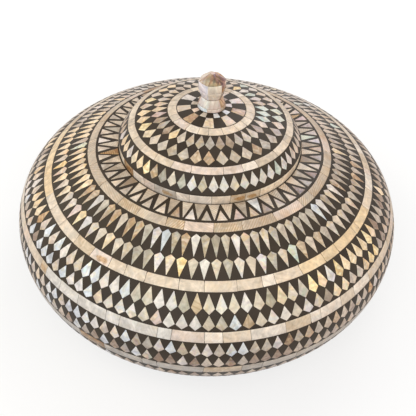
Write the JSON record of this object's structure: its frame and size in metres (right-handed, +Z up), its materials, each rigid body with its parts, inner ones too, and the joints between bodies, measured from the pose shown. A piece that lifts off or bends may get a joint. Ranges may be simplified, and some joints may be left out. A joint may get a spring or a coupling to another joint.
{
  "type": "round inlaid lidded box",
  "caption": "Squat round wooden box inlaid with rings of mother-of-pearl kites and bands in a dark ground, with a stepped domed lid that lifts off by a faceted knob.",
  "frame": {"origin": "centre of the felt pad's underside, on the surface the box stands on", "axes": "+Z up along the axis of the box and the way the lid lifts; -Y faces the camera of the picture"},
  "size_m": [0.3206, 0.3206, 0.18],
  "materials": {
    "wood": "stained, satin",
    "resin_ground": "polished black-brown resin",
    "shell_bands": "polished cream shell",
    "shell_inlay": "polished mother of pearl",
    "shell_knob": "polished mother of pearl",
    "felt": "felt",
    "fastener": "plain steel"
  },
  "bodies": {
    "body": {"base_felt": "felt", "lower_bowl": "wood", "upper_shell": "wood", "shelf_ring": "wood", "body_ground": "resin_ground", "shelf_teeth_inner": "shell_inlay", "shelf_teeth_outer": "shell_inlay", "band_mouth": "shell_bands", "kites_shoulder_upper": "shell_inlay", "kites_shoulder_lower": "shell_inlay", "band_shoulder": "shell_bands", "kites_flank_upper": "shell_inlay", "kites_flank_lower": "shell_inlay", "band_flank": "shell_bands", "kites_belly_upper": "shell_inlay", "kites_belly_lower": "shell_inlay", "band_belly": "shell_bands", "band_keel": "shell_bands", "band_foot": "shell_bands"},
    "lid": {"lid_dome": "wood", "lid_rim": "wood", "lid_ring": "wood", "lid_ground": "resin_ground", "band_lid_rim": "shell_bands", "kites_lid_skirt": "shell_inlay", "band_lid_shoulder": "shell_bands", "kites_lid_lower": "shell_inlay", "kites_lid_upper": "shell_inlay", "band_lid_crown": "shell_bands", "lid_top_wedges": "shell_inlay", "lid_top_squares": "shell_inlay", "knob_core": "wood", "knob_foot_plates": "shell_knob", "knob_flare_plates": "shell_knob", "knob_neck_plates": "shell_knob", "knob_barrel_plates": "shell_knob", "knob_crown_plates": "shell_knob", "knob_button": "shell_knob", "knob_screw": "fastener", "knob_washer": "fastener"}
  },
  "joints": [
    {"name": "lid_lift", "type": "slide", "parent": "body", "child": "lid", "axis": [0, 0, 1], "range_m": [0, 0.15]}
  ]
}
